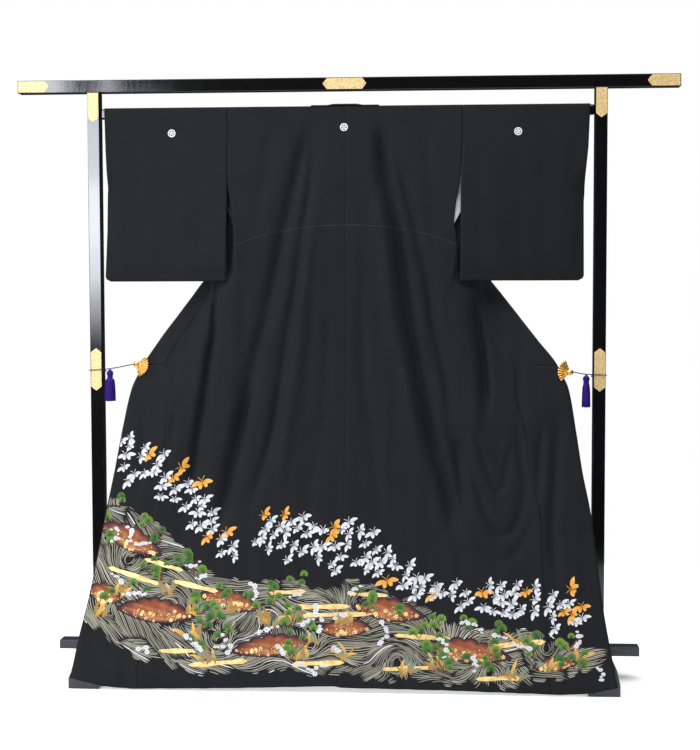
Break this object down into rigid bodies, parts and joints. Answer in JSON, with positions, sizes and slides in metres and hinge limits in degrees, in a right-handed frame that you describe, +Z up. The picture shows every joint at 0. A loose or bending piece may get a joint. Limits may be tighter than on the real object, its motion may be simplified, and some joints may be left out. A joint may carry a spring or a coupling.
{
  "type": "kurotomesode on a kimono stand",
  "caption": "Black formal kimono with a patterned hem, spread back to the viewer on a lacquered stand, with fronts drawn out by fan clips.",
  "frame": {"origin": "on the floor, at the middle of the stand's box, under the top rail", "axes": "+Z up; +X along the top rail, to the right of someone who faces the garment's back; the garment's back faces -Y"},
  "size_m": [1.8074, 0.4356, 1.6434],
  "materials": {
    "black_silk": "matte silk crepe, dyed black, with a patterned hem",
    "white_silk": "smooth white silk",
    "black_lacquer": "black lacquer, glossy",
    "dark_lacquer": "dark blue-grey lacquer, satin",
    "gilt": "pale gilding with a raised border",
    "gold": "polished gold plating",
    "purple_silk": "twisted and combed silk thread"
  },
  "bodies": {
    "root": {"body_left": "black_silk", "body_right": "black_silk", "okumi_left": "black_silk", "okumi_right": "black_silk", "sleeve_left": "black_silk", "sleeve_right": "black_silk", "collar_left": "black_silk", "collar_right": "black_silk", "collar_neck": "black_silk", "lining_right": "white_silk", "clip_left": "gold", "clip_right": "gold", "cord_left": "purple_silk", "cord_right": "purple_silk", "tassel_left": "purple_silk", "tassel_right": "purple_silk", "top_rail": "black_lacquer", "garment_rod": "black_lacquer", "post_left": "black_lacquer", "post_right": "black_lacquer", "low_rail": "dark_lacquer", "foot_left": "dark_lacquer", "foot_right": "dark_lacquer", "foot_block_left": "dark_lacquer", "foot_block_right": "dark_lacquer", "plate_rail_left": "gilt", "plate_rail_middle": "gilt", "plate_rail_right": "gilt", "plate_post_top_left": "gilt", "plate_post_top_right": "gilt", "plate_post_middle_left": "gilt", "plate_post_middle_right": "gilt"}
  },
  "joints": []
}
